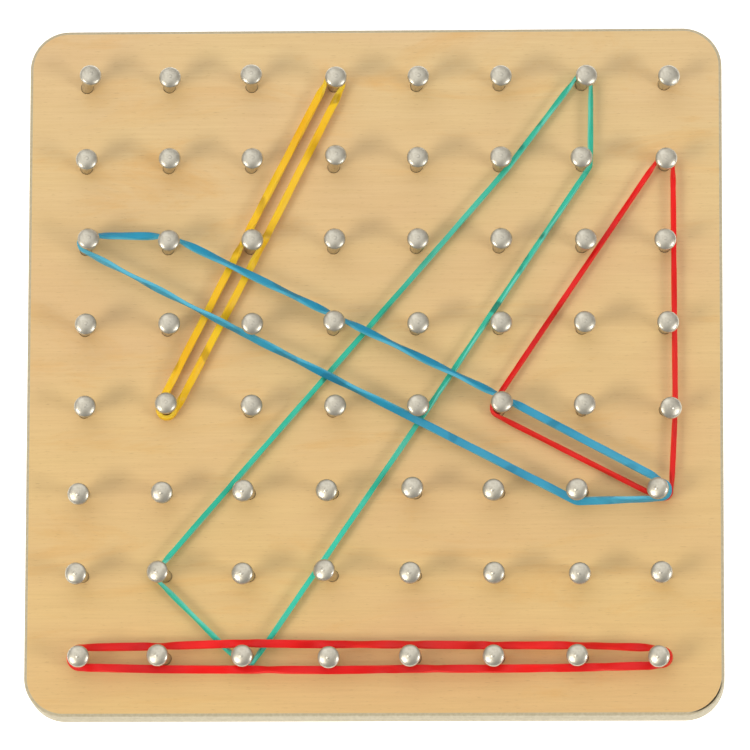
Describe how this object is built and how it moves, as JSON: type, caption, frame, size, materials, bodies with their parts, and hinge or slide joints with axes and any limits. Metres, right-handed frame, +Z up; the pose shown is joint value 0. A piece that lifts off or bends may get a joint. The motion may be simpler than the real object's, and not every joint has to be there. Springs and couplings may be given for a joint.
{
  "type": "peg board with stretch bands",
  "caption": "Square wooden board with a grid of round-head metal pins, on which loose rubber bands are stretched into shapes.",
  "frame": {"origin": "centre of the board's flat underside", "axes": "+Z up out of the pin side, square to the board; +Y towards row 1 of the pins; +X towards column 8"},
  "size_m": [0.23, 0.23, 0.027],
  "materials": {
    "birch_board": "pale birch plywood, clear satin, fine grain along X, plies showing on the edge",
    "pin_metal": "satin turned aluminium with a small centre nub on the dome",
    "yellow_rubber": "smooth flat elastic, satin",
    "teal_rubber": "smooth flat elastic, satin, slightly translucent",
    "blue_rubber": "smooth flat elastic, satin, slightly translucent",
    "red_rubber": "smooth flat elastic, satin"
  },
  "bodies": {
    "pin_board": {"board": "birch_board", "pin_r1_c1": "pin_metal", "pin_r1_c2": "pin_metal", "pin_r1_c3": "pin_metal", "pin_r1_c4": "pin_metal", "pin_r1_c5": "pin_metal", "pin_r1_c6": "pin_metal", "pin_r1_c7": "pin_metal", "pin_r1_c8": "pin_metal", "pin_r2_c1": "pin_metal", "pin_r2_c2": "pin_metal", "pin_r2_c3": "pin_metal", "pin_r2_c4": "pin_metal", "pin_r2_c5": "pin_metal", "pin_r2_c6": "pin_metal", "pin_r2_c7": "pin_metal", "pin_r2_c8": "pin_metal", "pin_r3_c1": "pin_metal", "pin_r3_c2": "pin_metal", "pin_r3_c3": "pin_metal", "pin_r3_c4": "pin_metal", "pin_r3_c5": "pin_metal", "pin_r3_c6": "pin_metal", "pin_r3_c7": "pin_metal", "pin_r3_c8": "pin_metal", "pin_r4_c1": "pin_metal", "pin_r4_c2": "pin_metal", "pin_r4_c3": "pin_metal", "pin_r4_c4": "pin_metal", "pin_r4_c5": "pin_metal", "pin_r4_c6": "pin_metal", "pin_r4_c7": "pin_metal", "pin_r4_c8": "pin_metal", "pin_r5_c1": "pin_metal", "pin_r5_c2": "pin_metal", "pin_r5_c3": "pin_metal", "pin_r5_c4": "pin_metal", "pin_r5_c5": "pin_metal", "pin_r5_c6": "pin_metal", "pin_r5_c7": "pin_metal", "pin_r5_c8": "pin_metal", "pin_r6_c1": "pin_metal", "pin_r6_c2": "pin_metal", "pin_r6_c7": "pin_metal", "pin_r6_c8": "pin_metal", "pin_pair_r6_c3_c4": "pin_metal", "pin_pair_r6_c5_c6": "pin_metal", "pin_pair_r7_c1_c2": "pin_metal", "pin_pair_r7_c3_c4": "pin_metal", "pin_pair_r7_c5_c6": "pin_metal", "pin_pair_r7_c7_c8": "pin_metal", "pin_pair_r8_c1_c2": "pin_metal", "pin_pair_r8_c3_c4": "pin_metal", "pin_pair_r8_c5_c6": "pin_metal", "pin_pair_r8_c7_c8": "pin_metal"},
    "yellow_band": {"band_yellow": "yellow_rubber"},
    "teal_band": {"band_teal": "teal_rubber"},
    "blue_band": {"band_blue": "blue_rubber"},
    "red_triangle_band": {"band_red_triangle": "red_rubber"},
    "red_row_band": {"band_red_row": "red_rubber"}
  },
  "joints": [
    {"name": "yellow_band_lift", "type": "slide", "parent": "pin_board", "child": "yellow_band", "axis": [0, 0, 1], "range_m": [0, 0.025], "deforming": ["band_yellow"]},
    {"name": "teal_band_lift", "type": "slide", "parent": "pin_board", "child": "teal_band", "axis": [0, 0, 1], "range_m": [0, 0.025], "deforming": ["band_teal"]},
    {"name": "blue_band_lift", "type": "slide", "parent": "pin_board", "child": "blue_band", "axis": [0, 0, 1], "range_m": [0, 0.025], "deforming": ["band_blue"]},
    {"name": "red_triangle_band_lift", "type": "slide", "parent": "pin_board", "child": "red_triangle_band", "axis": [0, 0, 1], "range_m": [0, 0.025], "deforming": ["band_red_triangle"]},
    {"name": "red_row_band_lift", "type": "slide", "parent": "pin_board", "child": "red_row_band", "axis": [0, 0, 1], "range_m": [0, 0.025], "deforming": ["band_red_row"]}
  ]
}
